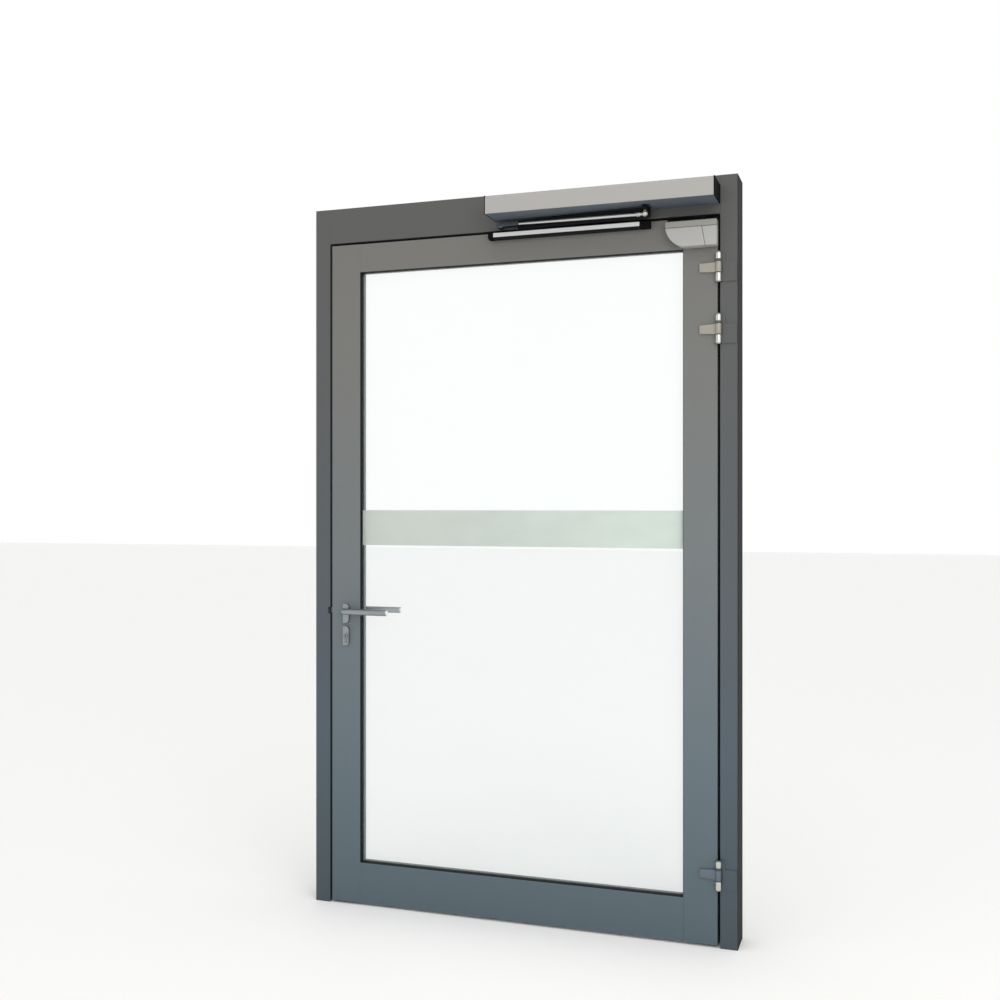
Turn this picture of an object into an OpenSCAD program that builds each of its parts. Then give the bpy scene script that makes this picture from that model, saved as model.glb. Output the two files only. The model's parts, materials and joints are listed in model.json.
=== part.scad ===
// Glazed aluminium door set: one leaf in its frame, with a lever lock,
// a swing operator on the head that drives a slide arm, and a safety sensor.
// Seen from the front, +X is to the right, +Y goes through the wall and +Z is up.
// Y = 0 is the front face of frame and leaf, X = 0 their middle, Z = 0 the floor.

/* [Door set] */
// Overall width of the frame
frame_w = 1392; // [1000:1:1700]
// Overall height of the frame
frame_h = 2300; // [2050:1:2800]
// Depth of the frame, front to back
frame_d = 110; // [95:1:140]

/* [Frame profiles] */
// Visible width of a jamb
jamb_face = 52; // [42:1:80]
// Visible height of the head
head_face = 114; // [108:1:160]
// How far the door stop stands in past the jamb and the head
stop_reach = 28; // [22:1:40]
// Wall of the frame profiles
frame_wall = 2.5; // [1.5:0.1:4]
// Radius on the corners of every profile
profile_r = 1; // [0.4:0.1:2]
// Gap between leaf and jamb
jamb_gap = 8; // [5:0.5:10]
// Gap between leaf and head
head_gap = 8; // [5:0.5:12]
// Gap between leaf and floor
floor_gap = 9; // [4:0.5:15]
// Thickness of the seal on the stop
seal_t = 4; // [3:0.5:8]
// Width of the seal on the stop
seal_w = 10; // [6:1:14]
// Radius of the fixing holes through the jambs
fixing_r = 5.25; // [3:0.25:7]
// Height of the lowest fixing hole
fixing_z = 200; // [100:10:300]
// Distance from one fixing hole to the next
fixing_pitch = 600; // [400:10:650]

/* [Leaf profiles] */
// Thickness of the leaf
leaf_t = 45; // [40:1:60]
// Visible width of a stile
stile_w = 102; // [98:1:140]
// Visible height of the top rail
top_rail_h = 92; // [70:1:140]
// Visible height of the bottom rail
bottom_rail_h = 132; // [80:1:300]
// Wall of the leaf profiles
leaf_wall = 2.5; // [1.5:0.1:3]
// Length of the cleats that join rails to stiles
cleat_l = 60; // [30:1:80]

/* [Glazing] */
// Thickness of the glass
glass_t = 10; // [6:1:16]
// Width of the rebate that the glass stands in
rebate_w = 18; // [15:1:24]
// How far the glass edge goes behind the sight line
glass_bite = 12; // [8:1:14]
// Thickness of the glazing gaskets
gasket_t = 4; // [2:0.5:6]
// Height of the frosted band's lower edge
band_z = 1187; // [900:1:1300]
// Height of the frosted band
band_h = 115; // [40:1:200]
// Thickness of the frosted film
film_t = 0.3; // [0.1:0.1:0.5]

/* [Hinges] */
// Heights of the hinge centres
hinge_z = [220, 1842, 2026];
// Height of a hinge without its pin heads
hinge_h = 86; // [70:1:120]
// Outer radius of a knuckle
knuckle_r = 9; // [8:0.5:12]
// Height of the middle knuckle
middle_knuckle_h = 31; // [20:1:40]
// Radius of the hinge pin
pin_r = 5; // [3:0.5:6]
// Height of a pin head
pin_head_h = 2; // [1:0.5:4]
// Wall of a hinge bush
bush_wall = 1.5; // [1:0.1:2]
// Thickness of a bush flange
flange_t = 1.2; // [0.8:0.1:2]
// Thickness of the hinge wings
wing_t = 3; // [2:0.5:5]
// Reach of the leaf wing from the hinge axis
leaf_wing_w = 57; // [40:1:80]

/* [Operator] */
// Length of the operator
operator_w = 706; // [600:1:900]
// Height of the operator
operator_h = 56; // [56:1:100]
// Depth of the operator
operator_d = 110; // [100:1:130]
// Height of the operator's underside above the head's lower edge
operator_rise = 29; // [22:1:34]
// Sheet thickness of cover and chassis
cover_t = 2.5; // [1:0.5:4]
// Radius of the cover's long front edge
cover_r = 9; // [4:1:20]
// Width of an end cap
cap_w = 3; // [3:1:20]
// Distance of the drive spindle from the hinge axis, along the wall
spindle_dx = 211; // [190:1:240]
// Distance of the drive spindle in front of the frame
spindle_dy = 55; // [48:1:60]
// Radius of the drive spindle
spindle_r = 8; // [6:0.5:9]

/* [Slide arm and track] */
// Radius of the arm rod
arm_r = 5; // [4:0.5:7]
// Height of the hub and the end knuckle
hub_h = 18; // [14:1:20]
// Radius of the hub and the end knuckle
hub_r = 10; // [9:0.5:12]
// Thickness of the flat bar behind the rod
bar_t = 5; // [3:0.5:6]
// How far the flat bar stops short of the shoe's pin
bar_short = 55; // [40:1:80]
// How much higher the rod's far end is than its end at the hub
arm_rise = 9; // [0:1:12]
// Gap between the leaf's top and the arm above it
arm_lift = 2.5; // [1:0.5:4]
// Distance of the slide shoe from the hinge axis when the door is shut
shoe_dx = 680; // [560:1:700]
// Length of the track with its end caps
track_l = 515; // [500:1:560]
// Distance of the track's hinge end from the hinge axis
track_dx = 203; // [180:1:220]
// Height of the track
track_h = 23; // [20:1:28]
// Depth of the track
track_d = 28; // [24:1:34]
// Chamfer along the track's front edges
track_c = 5; // [3:0.5:7]
// Thickness of the silver strip along the track's front
strip_t = 1.5; // [1:0.5:3]
// Wall of the track
track_wall = 4; // [3:0.5:5]
// Width of the track's slot
slot_w = 8; // [6:0.5:10]
// Length of the track's end cap on the lock side
track_cap_l = 18; // [10:1:30]
// Length of the track's end cap on the hinge side
hinge_cap_l = 31; // [10:1:34]
// Length of the slide shoe
shoe_l = 32; // [24:1:34]

/* [Sensor] */
// Width of the sensor
sensor_w = 153; // [100:1:200]
// Height of the sensor
sensor_h = 72; // [60:1:100]
// Depth of the sensor
sensor_d = 33; // [25:1:40]
// Radius of the sensor's large lower corner
sensor_r = 57; // [20:1:57]
// Distance of the sensor from the leaf's top
sensor_drop = 18; // [8:1:40]
// Height of the window strip along the sensor's top
window_h = 14; // [8:1:15]
// Wall of the sensor's cover
sensor_wall = 2; // [1.5:0.5:3]

/* [Handle] */
// Height of the lever's axis
lever_z = 969; // [850:1:1100]
// Distance of the lever's axis from the leaf's edge
backset = 53; // [48:1:56]
// Length of the lever from its axis
lever_l = 160; // [110:1:180]
// Radius of the lever's bar
lever_r = 10; // [7:0.5:11]
// Distance of the bar's middle from the leaf
lever_off = 35; // [34:1:60]
// Radius of the lever's bends
bend_r = 14; // [12:1:20]
// Width of the rose and the escutcheon
rose_w = 21; // [20:1:40]
// Height of the rose and the escutcheon
rose_h = 62; // [50:1:72]
// How far the rose's middle is below the lever's axis
rose_drop = 8; // [0:1:12]
// Thickness of the rose and the escutcheon
rose_t = 8; // [5:1:12]
// Side of the square spindle
square = 8; // [7:1:9]

/* [Lock] */
// Distance from the lever's axis down to the key cylinder
cylinder_drop = 82; // [72:1:92]
// Depth of the lock case behind its forend
case_w = 76; // [74:0.5:77]
// Thickness of the lock case
case_t = 15; // [14:1:20]
// Sheet thickness of the lock case
case_wall = 2; // [1:0.5:2]
// How far the case goes past the lever axis and the cylinder
case_end = 37; // [30:1:50]
// Width of forend and strike plate
plate_w = 24; // [20:1:26]
// How far forend and strike plate go past the lock case
plate_end = 22; // [15:1:30]
// Height of the latch bolt
latch_h = 18; // [16:1:26]
// Throw of the latch bolt out of the forend
latch_throw = 14; // [10:1:16]
// Height of the dead bolt
bolt_h = 24; // [16:1:26]
// Throw of the dead bolt
bolt_throw = 20; // [15:1:22]
// Length of the dead bolt
bolt_l = 45; // [35:1:50]
// Distance of the dead bolt above the key cylinder
bolt_rise = 32; // [30:1:36]
// Thickness of both bolts
bolt_t = 10; // [8:0.5:10]
// Reach of the cylinder's cam
cam_r = 15.3; // [12:0.1:15.5]

/* [Clearances] */
// Radial clearance of pins and spindles in their bores
run_c = 0.05; // [0.02:0.01:0.1]
// Clearance between pieces that slide past each other
slide_c = 0.3; // [0.2:0.05:0.5]
// Clearance of a piece in the pocket cut for it
fit_c = 0.2; // [0.1:0.05:0.5]

/* [Hidden] */
$fn = 64;
BOTTOM = 0; UPPER = 1; TOP = 2;

// Finishes
PAINT = [0.42, 0.44, 0.45];
PAINT_DARK = [0.33, 0.35, 0.37];
SILVER = [0.75, 0.76, 0.77];
STEEL = [0.62, 0.62, 0.62];
BLACK = [0.08, 0.08, 0.09];
COVER = [0.70, 0.69, 0.68];

// A cut goes this far past the face it opens
past = 1;

// Frame
inner_x = frame_w / 2 - jamb_face;
stop_y = leaf_t + seal_t;
head_z = frame_h - head_face;
stop_z = head_z - stop_reach;
fixing_n = floor((frame_h - 2 * fixing_z) / fixing_pitch) + 1;

// Leaf
leaf_x = inner_x - jamb_gap;
leaf_top = head_z - head_gap;
leaf_h = leaf_top - floor_gap;
sight_x = leaf_x - stile_w;
sight_top = leaf_top - top_rail_h;
sight_bottom = floor_gap + bottom_rail_h;
shoulder_t = (leaf_t - glass_t - 2 * gasket_t) / 2;
glass_y = shoulder_t + gasket_t;
bead_y = glass_y + glass_t + gasket_t;

// Hinges: the axis stands over the gap, half way between leaf and jamb
axis_x = inner_x - jamb_gap / 2;
axis_y = -knuckle_r;
bush_r = pin_r + bush_wall;
outer_knuckle_h = (hinge_h - middle_knuckle_h) / 2 - flange_t - run_c;
middle_z = outer_knuckle_h + run_c + flange_t;
frame_wing_x = axis_x + knuckle_r + 2;
frame_wing_end = frame_w / 2 - 3;
neck_gap = 1;

// Operator
op_x1 = inner_x;
op_x0 = op_x1 - operator_w;
op_z0 = head_z + operator_rise;
op_z1 = op_z0 + operator_h;
op_front = -operator_d;
spindle_x = axis_x - spindle_dx;
spindle_y = -spindle_dy;
gearbox_w = 112;
gear_z0 = op_z0 + cover_t;
gear_h = operator_h - 2 * cover_t - 4;
drive_y0 = op_front + cover_t + 6;
socket_h = 34;

// Arm: the shoe's pin runs on the middle of the track
arm_bottom = leaf_top + arm_lift;
arm_z = arm_bottom + hub_h / 2;
rod_z = arm_z + arm_rise;
pin_top = arm_bottom + arm_rise - 0.4;
shoe_x = axis_x - shoe_dx;
track_y = -track_d / 2;
arm_dx = shoe_x - spindle_x;
arm_dy = track_y - spindle_y;
arm_l = sqrt(arm_dx * arm_dx + arm_dy * arm_dy);
arm_turn = atan2(arm_dy, arm_dx);
collar_l = 14;
knuckle_l = 62;
bar_h = op_z0 - arm_lift - 1.5 - arm_bottom;

// Track
track_x1 = axis_x - track_dx;
track_x0 = track_x1 - track_l;
track_z0 = leaf_top - track_h;
shoe_h = track_h - 2 * track_wall - 2 * slide_c;
strip_h = 13;

// Sensor
sensor_x1 = leaf_x + 2;
sensor_x0 = sensor_x1 - sensor_w;
sensor_z1 = leaf_top - sensor_drop;
sensor_z0 = sensor_z1 - sensor_h;
sensor_plate = 3;

// Handle and lock
handle_x = -leaf_x + backset;
cylinder_z = lever_z - cylinder_drop;
case_y = (leaf_t - case_t) / 2;
case_x0 = -leaf_x + leaf_wall;
case_z0 = cylinder_z - case_end;
case_z1 = lever_z + case_end;
plate_z0 = case_z0 - plate_end;
plate_h = case_z1 + plate_end - plate_z0;
plate_y = (leaf_t - plate_w) / 2;
follower_r = 11;
bearing_r = 8.5;
neck_r = 8;
barrel_r = 8.5;
key_r = 6.5;
leg_w = 10;
cylinder_h = 33;
cylinder_out = 2;
cam_w = case_t - 2 * case_wall - 1;
screw_r = 2.5;
bolt_z = cylinder_z + bolt_rise;
bolt_y = leaf_t / 2 - bolt_t / 2;
latch_z = lever_z - latch_h / 2;
// The pocket in the jamb takes the bolts; its front is open for the latch, as in a released strike
pocket_c = 1.5;

// ---- Outlines ----

function unit(v) = v / norm(v);

// Right-angled outline, anticlockwise, with its outer corners rounded by r
function soft(points, r, n = 3) = [
    for (i = [0 : len(points) - 1])
        let (
            p = points[i],
            u = unit(points[(i + len(points) - 1) % len(points)] - p),
            v = unit(points[(i + 1) % len(points)] - p),
            outer = u[0] * v[1] - u[1] * v[0] < 0
        )
        for (k = [0 : outer ? n : 0])
            outer ? p + r * (u + v) - r * (v * cos(90 * k / n) + u * sin(90 * k / n)) : p
];

// L-shaped outline: a body of width a and full depth d, and a foot that reaches b
// further between the depths y0 and y1
function ell(a, b, d, y0, y1) =
    y0 > 0 ? [[0, 0], [a, 0], [a, y0], [a + b, y0], [a + b, y1], [0, d]]
           : [[0, 0], [a + b, 0], [a + b, y1], [a, y1], [a, d], [0, d]];

module box(from, to) {
    translate(from) cube(to - from);
}

// Extrudes an outline given as (depth, height) along X
module along_x(x0, x1) {
    translate([x0, 0, 0]) rotate([90, 0, 90]) linear_extrude(x1 - x0) children();
}

// Extrudes an outline given as (x, height) along Y
module along_y(y0, y1) {
    translate([0, y1, 0]) rotate([90, 0, 0]) linear_extrude(y1 - y0) children();
}

module round_bar(r, l) {
    rotate([0, 90, 0]) cylinder(r = r, h = l);
}

module upright(x, y, z, r, h) {
    translate([x, y, z]) cylinder(r = r, h = h);
}

// ---- Frame ----

module jamb_section() {
    difference() {
        polygon(soft(ell(jamb_face, stop_reach, frame_d, stop_y, frame_d), profile_r));
        translate([frame_wall, frame_wall])
            square([jamb_face - 2 * frame_wall, frame_d - 2 * frame_wall]);
        translate([jamb_face, stop_y + frame_wall])
            square([stop_reach - frame_wall, frame_d - stop_y - 2 * frame_wall]);
    }
}

// A jamb in its own frame: X = 0 is its outer face and +X goes into the doorway
module jamb() {
    difference() {
        linear_extrude(frame_h) jamb_section();
        for (i = [0 : fixing_n - 1])
            translate([-past, frame_d / 2, fixing_z + i * fixing_pitch])
                round_bar(fixing_r, jamb_face + stop_reach + 2 * past);
    }
}

module jamb_hinge_side() {
    color(PAINT_DARK) translate([frame_w / 2, 0, 0]) mirror([1, 0, 0]) jamb();
}

module jamb_lock_side() {
    color(PAINT_DARK) difference() {
        translate([-frame_w / 2, 0, 0]) jamb();
        // Pocket for the strike plate
        box([-inner_x - frame_wall, plate_y, plate_z0],
            [-inner_x + past, plate_y + plate_w, plate_z0 + plate_h]);
        latch_way();
    }
}

// The way out to the front that a released strike leaves for the latch
module latch_way() {
    box([-leaf_x - latch_throw - pocket_c, -past, latch_z - pocket_c],
        [-inner_x + past, bolt_y + bolt_t + pocket_c, latch_z + latch_h + pocket_c]);
}

module head_section() {
    difference() {
        polygon([for (p = soft(ell(head_face, stop_reach, frame_d, stop_y, frame_d), profile_r))
            [p[1], frame_h - p[0]]]);
        translate([frame_wall, head_z + frame_wall])
            square([frame_d - 2 * frame_wall, head_face - 2 * frame_wall]);
        translate([stop_y + frame_wall, stop_z + frame_wall])
            square([frame_d - stop_y - 2 * frame_wall, stop_reach - frame_wall]);
    }
}

module frame_head() {
    color(PAINT_DARK) difference() {
        along_x(-inner_x, inner_x) head_section();
        // Coped over the stops of the jambs
        for (s = [-1, 1]) mirror([s < 0 ? 1 : 0, 0, 0])
            box([inner_x - stop_reach, stop_y, stop_z - past],
                [inner_x + past, frame_d + past, frame_h + past]);
        operator_fixings(past) cylinder(r = screw_r, h = frame_wall + 2 * past);
    }
}

module head_cleats() {
    inset = frame_wall + fit_c;
    color(SILVER) for (s = [0, 1]) mirror([s, 0, 0]) difference() {
        box([inner_x - cleat_l, inset, head_z + inset],
            [inner_x, stop_y - inset, frame_h - inset]);
        box([inner_x - cleat_l - past, 3 * inset, head_z + 3 * inset],
            [inner_x + past, stop_y - 3 * inset, frame_h - 3 * inset]);
    }
}

// Bulb seals on the three stops; they lie against the leaf with a small clearance
module stop_seals() {
    inset = 4;
    y0 = leaf_t + slide_c;
    color(BLACK) {
        for (s = [0, 1]) mirror([s, 0, 0])
            linear_extrude(stop_z + inset)
                polygon(soft([[inner_x - stop_reach + inset, y0], [inner_x - stop_reach + inset + seal_w, y0],
                    [inner_x - stop_reach + inset + seal_w, stop_y],
                        [inner_x - stop_reach + inset, stop_y]], 1));
        along_x(-inner_x + stop_reach, inner_x - stop_reach)
            polygon(soft([[y0, stop_z + inset], [stop_y, stop_z + inset],
                [stop_y, stop_z + inset + seal_w], [y0, stop_z + inset + seal_w]], 1));
    }
}

// Strike plate with a lining round the latch's way, behind the jamb's front wall
module strike_plate() {
    lining = 1.5;
    z0 = latch_z - pocket_c - lining;
    z1 = latch_z + latch_h + pocket_c + lining;
    y1 = bolt_y + bolt_t + pocket_c + lining;
    color(PAINT_DARK) difference() {
        union() {
            box([-inner_x - frame_wall, plate_y + fit_c, plate_z0 + fit_c],
                [-inner_x, plate_y + plate_w - fit_c, plate_z0 + plate_h - fit_c]);
            box([-leaf_x - latch_throw - pocket_c - lining, frame_wall + fit_c, z0],
                [-inner_x - frame_wall - fit_c, y1, z1]);
            box([-leaf_x - latch_throw - pocket_c - lining, plate_y + fit_c, z0],
                [-inner_x - frame_wall + fit_c, y1, z1]);
        }
        latch_way();
        box([-inner_x - frame_wall - past, bolt_y - pocket_c, bolt_z - bolt_h / 2 - pocket_c],
            [-inner_x + past, bolt_y + bolt_t + pocket_c, bolt_z + bolt_h / 2 + pocket_c]);
    }
}

// ---- Hinges ----

module at_hinge(i) {
    translate([axis_x, axis_y, hinge_z[i] - hinge_h / 2]) children();
}

// Wing on the jamb with the two outer knuckles: its plate stops under the top
// knuckle, which a narrow strip carries
module frame_wing(i) {
    strip_w = 8;
    x0 = frame_wing_x - axis_x;
    color(PAINT_DARK) at_hinge(i) difference() {
        union() {
            box([x0, knuckle_r - wing_t, 0], [x0 + strip_w, knuckle_r, hinge_h]);
            box([x0, knuckle_r - wing_t, 0],
                [frame_wing_end - axis_x, knuckle_r, hinge_h - outer_knuckle_h - run_c]);
            for (z = [0, hinge_h - outer_knuckle_h]) {
                upright(0, 0, z, knuckle_r, outer_knuckle_h);
                box([0, knuckle_r - wing_t, z], [x0 + past, knuckle_r, z + outer_knuckle_h]);
            }
        }
        upright(0, 0, -past, pin_r + run_c, hinge_h + 2 * past);
    }
}

module hinge_pins() {
    head_r = knuckle_r - 1;
    color(STEEL) for (i = [BOTTOM, UPPER, TOP]) at_hinge(i) {
        upright(0, 0, 0, pin_r, hinge_h);
        upright(0, 0, hinge_h, head_r, pin_head_h);
        upright(0, 0, -pin_head_h, head_r, pin_head_h);
    }
}

// Wing on the leaf with the middle knuckle, a little narrower at its far end
module leaf_wing(i) {
    taper = 2;
    color(SILVER) at_hinge(i) difference() {
        union() {
            upright(0, 0, middle_z, knuckle_r, middle_knuckle_h);
            along_y(knuckle_r - wing_t, knuckle_r)
                polygon([[0, middle_z], [0, middle_z + middle_knuckle_h],
                    [-leaf_wing_w, middle_z + middle_knuckle_h - taper], [-leaf_wing_w, middle_z + taper]]);
        }
        upright(0, 0, middle_z - past, bush_r, middle_knuckle_h + 2 * past);
    }
}

// Two flanged bushes in each middle knuckle
module hinge_bushes() {
    sleeve_h = middle_knuckle_h / 2 - 1;
    color(BLACK) for (i = [BOTTOM, UPPER, TOP]) at_hinge(i)
        for (s = [0, 1]) translate([0, 0, hinge_h / 2]) mirror([0, 0, s]) difference() {
            union() {
                upright(0, 0, middle_knuckle_h / 2 - sleeve_h, bush_r - run_c, sleeve_h);
                upright(0, 0, middle_knuckle_h / 2, knuckle_r - 0.2, flange_t);
            }
            upright(0, 0, 0, pin_r + run_c, middle_knuckle_h);
        }
}

// ---- Operator ----

// Four screws through the chassis into the head, in the chassis's plane
module operator_fixings(out) {
    for (x = [op_x0 + cap_w + 30, op_x1 - cleat_l - 12], z = [op_z0 + 12, op_z1 - 12])
        translate([x, -out, z]) rotate([-90, 0, 0]) children();
}

// Base plate on the head and the tray that closes the underside
module operator_chassis() {
    color(BLACK) difference() {
        union() {
            box([op_x0 + cap_w, -cover_t, op_z0], [op_x1 - cap_w, 0, op_z1 - cover_t]);
            box([op_x0 + cap_w, op_front + cover_t, op_z0], [op_x1 - cap_w, 0, op_z0 + cover_t]);
        }
        upright(spindle_x, spindle_y, op_z0 - past, spindle_r + 5, cover_t + 2 * past);
        operator_fixings(cover_t + past) cylinder(r = screw_r + fit_c, h = cover_t + 2 * past);
    }
}

// Front and top of the cover in one bent section, rounded along the front edge
module operator_cover() {
    bend = function (r) [for (k = [0 : 8])
        [op_front + cover_r - r * cos(90 * k / 8), op_z1 - cover_r + r * sin(90 * k / 8)]];
    color(COVER) along_x(op_x0 + cap_w, op_x1 - cap_w)
        polygon(concat(
            [[op_front, op_z0]], bend(cover_r), [[0, op_z1], [0, op_z1 - cover_t]],
            [for (k = [8 : -1 : 0]) bend(cover_r - cover_t)[k]], [[op_front + cover_t, op_z0]]));
}

// End cap with a rounded outer corner in plan
module operator_cap() {
    corner = cap_w - 1;
    color(BLACK) translate([0, 0, op_z0]) linear_extrude(operator_h)
        polygon(concat([[cap_w, 0], [0, 0]],
            [for (k = [0 : 8]) [corner - corner * cos(90 * k / 8),
                op_front + corner - corner * sin(90 * k / 8)]],
            [[cap_w, op_front]]));
}

module operator_cap_left() {
    translate([op_x0, 0, 0]) operator_cap();
}

module operator_cap_right() {
    translate([op_x1, 0, 0]) mirror([1, 0, 0]) operator_cap();
}

module operator_gearbox() {
    color(SILVER) difference() {
        box([spindle_x - gearbox_w / 2, drive_y0, gear_z0],
            [spindle_x + gearbox_w / 2, -cover_t, gear_z0 + gear_h]);
        upright(spindle_x, spindle_y, gear_z0 - past, spindle_r + run_c, socket_h + past);
    }
}

module operator_motor() {
    motor_r = 22;
    motor_l = 96;
    color(STEEL) translate([spindle_x - gearbox_w / 2 - motor_l, drive_y0 + motor_r + 4,
        gear_z0 + gear_h / 2]) {
        round_bar(motor_r, motor_l);
        translate([-12, 0, 0]) round_bar(motor_r - 9, 12);
        // Saddle on the base plate
        box([10, 0, -8], [motor_l - 10, -cover_t - drive_y0 - motor_r - 4, 8]);
    }
}

module operator_spring() {
    spring_r = 21;
    spring_l = op_x1 - cap_w - 8 - spindle_x - gearbox_w / 2;
    color(BLACK) translate([spindle_x + gearbox_w / 2, drive_y0 + spring_r + 4, gear_z0 + gear_h / 2]) {
        round_bar(spring_r, spring_l);
        box([10, 0, -8], [spring_l - 10, -cover_t - drive_y0 - spring_r - 4, 8]);
    }
}

module operator_power_unit() {
    color(STEEL) box([op_x0 + cap_w + 8, drive_y0 + 20, gear_z0],
        [op_x0 + cap_w + 138, -cover_t - 12, gear_z0 + 40]);
}

module operator_control_board() {
    x0 = op_x0 + cap_w + 150;
    color([0.1, 0.35, 0.2]) {
        box([x0, drive_y0 + 10, gear_z0 + 6], [x0 + 100, -cover_t - 12, gear_z0 + 8]);
        for (x = [x0 + 5, x0 + 85]) box([x, drive_y0 + 40, gear_z0], [x + 10, drive_y0 + 52, gear_z0 + 6]);
    }
    color(BLACK) box([x0 + 20, drive_y0 + 30, gear_z0 + 8], [x0 + 80, drive_y0 + 48, gear_z0 + 22]);
}

module operator_screws() {
    head_h = 3;
    color(STEEL) operator_fixings(cover_t) {
        cylinder(r = screw_r - run_c, h = cover_t + frame_wall + 6);
        translate([0, 0, -head_h]) cylinder(r = 2 * screw_r, h = head_h);
    }
}

// ---- Arm and shoe ----

module at_spindle() {
    translate([spindle_x, spindle_y, 0]) rotate([0, 0, arm_turn]) children();
}

module arm_spindle() {
    color(STEEL) upright(spindle_x, spindle_y, arm_bottom + hub_h, spindle_r,
        gear_z0 + socket_h - 1 - arm_bottom - hub_h);
}

module arm_hub() {
    edge = 3;
    color(SILVER) at_spindle() {
        translate([0, 0, arm_bottom]) rotate_extrude()
            polygon(concat([[0, 0]], [for (k = [0 : 4]) [hub_r - edge + edge * sin(90 * k / 4),
                edge - edge * cos(90 * k / 4)]],
                [for (k = [0 : 4]) [hub_r - edge + edge * cos(90 * k / 4),
                    hub_h - edge + edge * sin(90 * k / 4)]],
                [[0, hub_h]]));
        // Seat on the flat bar
        box([-hub_r + 2, -hub_r, arm_bottom], [hub_r - 2, 0, arm_bottom + hub_h]);
        translate([0, 0, arm_z]) round_bar(arm_r + 1, hub_r + 4);
        translate([hub_r + 4, 0, arm_z]) round_bar(arm_r + 2.5, collar_l);
    }
}

// Flat bar behind the rod, from just past the hub to the knuckle
module arm_bar() {
    color(BLACK) at_spindle()
        box([-hub_r - 4, -hub_r - bar_t, arm_bottom], [arm_l - bar_short, -hub_r, arm_bottom + bar_h]);
}

// The rod climbs from the hub's collar; both ends are cut upright
module arm_rod() {
    start = hub_r + 4 + collar_l;
    end = arm_l - knuckle_l;
    climb = atan(arm_rise / (end - start));
    color(SILVER) at_spindle() intersection() {
        translate([start, 0, arm_z]) rotate([0, -climb, 0]) translate([-arm_r, 0, 0])
            round_bar(arm_r, end - start + 3 * arm_r);
        box([start, -2 * arm_r, arm_z - 2 * arm_r], [end, 2 * arm_r, arm_z + arm_rise + 2 * arm_r]);
    }
}

// Knuckle over the shoe's pin: it stops just above the pin, where the linkage is open
module arm_knuckle() {
    color([0.5, 0.5, 0.5]) at_spindle() {
        upright(arm_l, 0, pin_top + 0.4, hub_r - 1, hub_h - 3);
        box([arm_l - 26, -arm_r - 1.5, rod_z - arm_r - 1], [arm_l, arm_r + 1.5, rod_z + arm_r]);
        // Shank that takes the end of the rod and is fixed to the flat bar
        box([arm_l - knuckle_l, -hub_r, rod_z - arm_r - 1], [arm_l - 20, arm_r + 1.5, rod_z + arm_r]);
    }
}

module slide_shoe() {
    pin = slot_w / 2 - slide_c;
    z0 = track_z0 + track_wall + slide_c;
    color([0.85, 0.85, 0.83]) {
        box([shoe_x - shoe_l / 2, -track_d + track_wall + slide_c, z0],
            [shoe_x + shoe_l / 2, -track_wall - slide_c, z0 + shoe_h]);
        upright(shoe_x, track_y, z0 + shoe_h, pin, pin_top - z0 - shoe_h);
    }
}

// ---- Leaf ----

module stile_section() {
    difference() {
        polygon(soft(ell(stile_w - rebate_w, rebate_w, leaf_t, 0, shoulder_t), profile_r));
        translate([leaf_wall, leaf_wall])
            square([stile_w - rebate_w - 2 * leaf_wall, leaf_t - 2 * leaf_wall]);
        translate([stile_w - rebate_w, leaf_wall])
            square([rebate_w - leaf_wall, shoulder_t - 2 * leaf_wall]);
    }
}

// A stile in its own frame: X = 0 is the leaf's edge and +X goes towards the glass
module stile() {
    translate([0, 0, floor_gap]) linear_extrude(leaf_h) stile_section();
}

module stile_hinge_side() {
    color(PAINT) translate([leaf_x, 0, 0]) mirror([1, 0, 0]) stile();
}

module stile_lock_side() {
    color(PAINT) difference() {
        translate([-leaf_x, 0, 0]) stile();
        // Pocket for the forend in the leaf's edge
        box([-leaf_x - past, plate_y, plate_z0], [-leaf_x + leaf_wall, plate_y + plate_w,
            plate_z0 + plate_h]);
        // Lever and key cylinder pass from face to face
        translate([handle_x, 0, 0]) along_y(-past, leaf_t + past) {
            translate([0, lever_z]) circle(neck_r + 2);
            translate([0, cylinder_z]) key_outline(fit_c);
        }
    }
}

// Section of a rail from its outer edge at height 0, towards the glass
module rail_section(h) {
    difference() {
        polygon([for (p = soft(ell(h - rebate_w, rebate_w, leaf_t, 0, shoulder_t), profile_r)) [p[1], p[0]]]);
        translate([leaf_wall, leaf_wall])
            square([leaf_t - 2 * leaf_wall, h - rebate_w - 2 * leaf_wall]);
        translate([leaf_wall, h - rebate_w])
            square([shoulder_t - 2 * leaf_wall, rebate_w - leaf_wall]);
    }
}

// A rail that stands up from height 0; its ends are coped over the stiles' shoulders
module rail(h) {
    difference() {
        along_x(-sight_x - rebate_w, sight_x + rebate_w) rail_section(h);
        for (s = [0, 1]) mirror([s, 0, 0])
            box([sight_x, -past, -past], [sight_x + rebate_w + past, shoulder_t, h + past]);
    }
}

module rail_bottom() {
    color(PAINT) translate([0, 0, floor_gap]) rail(bottom_rail_h);
}

module rail_top() {
    color(PAINT) translate([0, 0, leaf_top]) mirror([0, 0, 1]) rail(top_rail_h);
}

// Cleats inside the rails' ends, against the stiles
module leaf_cleats() {
    y0 = shoulder_t + fit_c;
    y1 = leaf_t - leaf_wall - fit_c;
    inset = leaf_wall + fit_c;
    spans = [[floor_gap + inset, sight_bottom - rebate_w - inset],
        [sight_top + rebate_w + inset, leaf_top - inset]];
    color(SILVER) for (s = [0, 1], z = spans) mirror([s, 0, 0]) difference() {
        box([sight_x + rebate_w - cleat_l, y0, z[0]], [sight_x + rebate_w, y1, z[1]]);
        box([sight_x + rebate_w - cleat_l - past, y0 + 5, z[0] + 8],
            [sight_x + rebate_w + past, y1 - 5, z[1] - 8]);
    }
}

// ---- Glazing ----

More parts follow.
